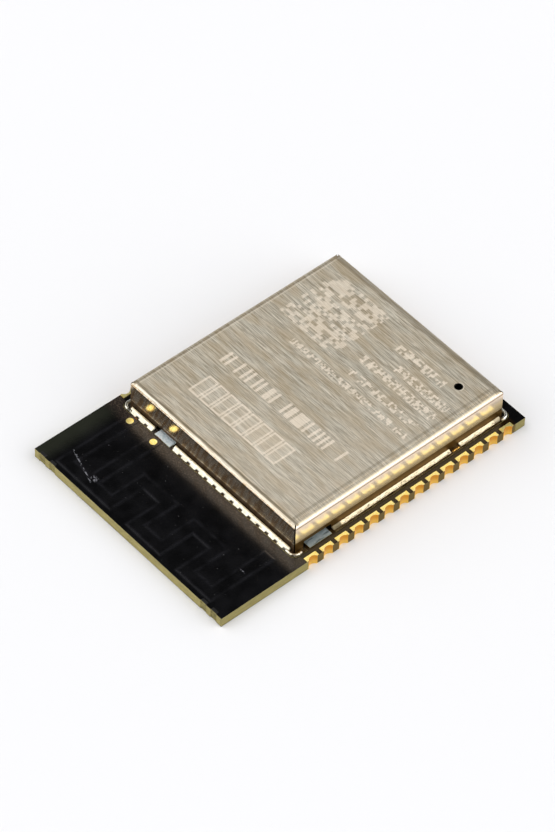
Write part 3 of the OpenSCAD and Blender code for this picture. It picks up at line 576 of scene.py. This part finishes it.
for name, dab_y, half_l in (("break_dab_front", break_y - 0.1, 0.26),
                            ("break_dab_rear", break_y + 0.18, 0.14)):
    dab_at = [c * MM for c in (right_high[0] - DAB_INSET, dab_y, right_low[2] + DAB_LIFT)]
    bpy.ops.object.select_all(action="DESELECT")
    bpy.ops.mesh.primitive_ico_sphere_add(subdivisions=3, radius=MM)
    bpy.ops.transform.resize(value=(DAB_HALF_W, half_l, DAB_HALF_H))
    bpy.ops.transform.translate(value=dab_at)
    set_unevenly(bpy.context.object, name, DAB_LUMPS)

# ---- The solder at the corners of the ring ----
# The ring's corners hold no can, so the solder there has drawn up into a round bead that
# follows the ring's edge and leaves the middle bare.
BEAD_R = 0.12 * MM
FRONT_ARM = 0.78 * MM
SIDE_ARM = 0.65 * MM
CORNER_R = 0.38 * MM
BEAD_LUMPS = 0.04

ring_low, ring_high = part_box("ground_ring")
for name, x_side, y_side in (("front_left", -1, -1), ("front_right", 1, -1),
                             ("rear_left", -1, 1), ("rear_right", 1, 1)):
    corner_x = ring_high[0] - BEAD_R if x_side > 0 else ring_low[0] + BEAD_R
    corner_y = ring_high[1] - BEAD_R if y_side > 0 else ring_low[1] + BEAD_R
    arm_end = (corner_x - x_side * FRONT_ARM, corner_y, ring_high[2])
    bpy.ops.object.select_all(action="DESELECT")
    bpy.ops.mesh.primitive_plane_add(size=MM, location=arm_end)
    bpy.ops.object.mode_set(mode="EDIT")
    bpy.ops.mesh.merge(type="CENTER")
    bpy.ops.mesh.extrude_region_move(TRANSFORM_OT_translate={"value": (x_side * FRONT_ARM, 0, 0)})
    bpy.ops.mesh.extrude_region_move(TRANSFORM_OT_translate={"value": (0, -y_side * SIDE_ARM, 0)})
    bpy.ops.mesh.select_all(action="SELECT")
    bpy.ops.mesh.bevel(affect="VERTICES", offset=CORNER_R, segments=12)
    bpy.ops.object.mode_set(mode="OBJECT")
    bpy.ops.object.convert(target="CURVE")
    bead = bpy.context.object
    bead.data.bevel_depth = BEAD_R
    bead.data.use_fill_caps = True
    bpy.ops.object.convert(target="MESH")
    set_unevenly(bpy.context.object, "corner_bead_" + name, BEAD_LUMPS)

# ---- The stubs of the panel tabs ----
# Glass cloth that tore when the board was broken out of its panel. A stub stands in each bite
# in the antenna edge, nearly flush with it.
BITE_INSET = 0.75
BITE_PITCH = 0.95
STUB_W = 0.5
STUB_DEPTH = 0.2
STUB_SHY = 0.035
STUB_EDGE_R = 0.03

torn = Finish("torn_laminate", {"Specular IOR Level": 0.3})
place = torn.place()
x, y, z = torn.axes(place)
strands = torn.noise(place, (16, 16, 5), 3)
glass_layers = torn.noise(place, (1.2, 1.2, 16), 3)
torn_edge = torn.mix(glass_layers.rise(0.35, 0.65), paint("6f6638"), paint("948a52"))
torn_edge = torn.mix(strands.rise(0.5, 0.65) * 0.6, torn_edge, paint("3c3518"))
board_low, board_high = in_mm(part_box("board_core"))
masked = z.rise(board_high[2] - 0.02, board_high[2]).most(z.rise(0.02, 0))
torn_edge = torn.mix(masked, torn_edge, paint("0a0a0b"))
torn.set({"Base Color": torn_edge, "Roughness": 0.5 + 0.3 * strands,
          "Normal": torn.bump(strands, 0.02)})

bpy.ops.object.select_all(action="DESELECT")
stub_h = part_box("mask_top")[1][2]
stubs = []
for side in (-1, 1):
    for i in range(2):
        stub_x = side * (board_high[0] - BITE_INSET - i * BITE_PITCH)
        stub_y = board_low[1] + STUB_SHY + STUB_DEPTH / 2
        bpy.ops.mesh.primitive_cube_add(size=1, location=(stub_x * MM, stub_y * MM, stub_h / 2))
        bpy.ops.transform.resize(value=(STUB_W * MM, STUB_DEPTH * MM, stub_h))
        stubs.append(bpy.context.object)
for stub in stubs:
    stub.select_set(True)
bpy.ops.object.join()
tab_stubs = bpy.context.object
tab_stubs.name = "tab_stubs"
bpy.ops.object.transform_apply(location=True, rotation=True, scale=True)
bpy.ops.object.mode_set(mode="EDIT")
bpy.ops.mesh.select_all(action="SELECT")
bpy.ops.mesh.bevel(offset=STUB_EDGE_R * MM, segments=3)
bpy.ops.mesh.select_all(action="SELECT")
bpy.ops.mesh.subdivide(number_cuts=3)
bpy.ops.object.mode_set(mode="OBJECT")
tab_stubs.data.materials.append(torn.owner)
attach(tab_stubs, "root")

# ---- Studio ----
# A white table between two wide soft boxes, one at the front left and one at the rear right.
TABLE_L = 1.6
SOFT_BOXES = (((-0.485, -0.449, 0.750), 0.7, 0.9, 2.0), ((0.64, 0.45, 0.62), 0.7, 0.9, 1.95))
LENS, SENSOR_W = 196.16, 36
CAMERA_AT = (138.357, -128.516, 216.671)
CAMERA_TURN = (41.368, -1.403, 48.787)

bpy.ops.mesh.primitive_plane_add(size=TABLE_L, location=(0, 0, 0))
table = bpy.context.object
table.name = "table"
white = Finish("white_table", {"Base Color": (0.845, 0.845, 0.86, 1), "Roughness": 0.9,
                               "Specular IOR Level": 0.1})
table.data.materials.append(white.owner)

world = bpy.context.scene.world or bpy.data.worlds.new("studio")
bpy.context.scene.world = world
studio = Finish("studio", {}, world)
outward = studio.node("ShaderNodeTexCoord", {}, {}, "Generated")
height = studio.axes(outward)[2]
soft = height.rise(0.6, 0.2) + 0.03
for towards, edge, core, power in SOFT_BOXES:
    facing = studio.node("ShaderNodeVectorMath", {"operation": "DOT_PRODUCT"},
                         {0: outward, 1: towards}, 1)
    soft = soft + power * facing.rise(edge, core)
seen = studio.node("ShaderNodeLightPath", {}, {}, "Is Camera Ray")
studio.set({"Color": studio.mix(seen, (1, 1, 1, 1), paint("fbfbfd")),
            "Strength": soft * (1 - seen) + seen})

camera_data = bpy.data.cameras.new("camera")
camera_data.sensor_width = SENSOR_W
camera_data.lens = LENS
camera_data.clip_start, camera_data.clip_end = 0.01, 5
camera = bpy.data.objects.new("camera", camera_data)
bpy.context.collection.objects.link(camera)
camera.location = [c * MM for c in CAMERA_AT]
camera.rotation_euler = [math.radians(a) for a in CAMERA_TURN]
bpy.context.scene.camera = camera
bpy.context.scene.view_settings.view_transform = "Standard"
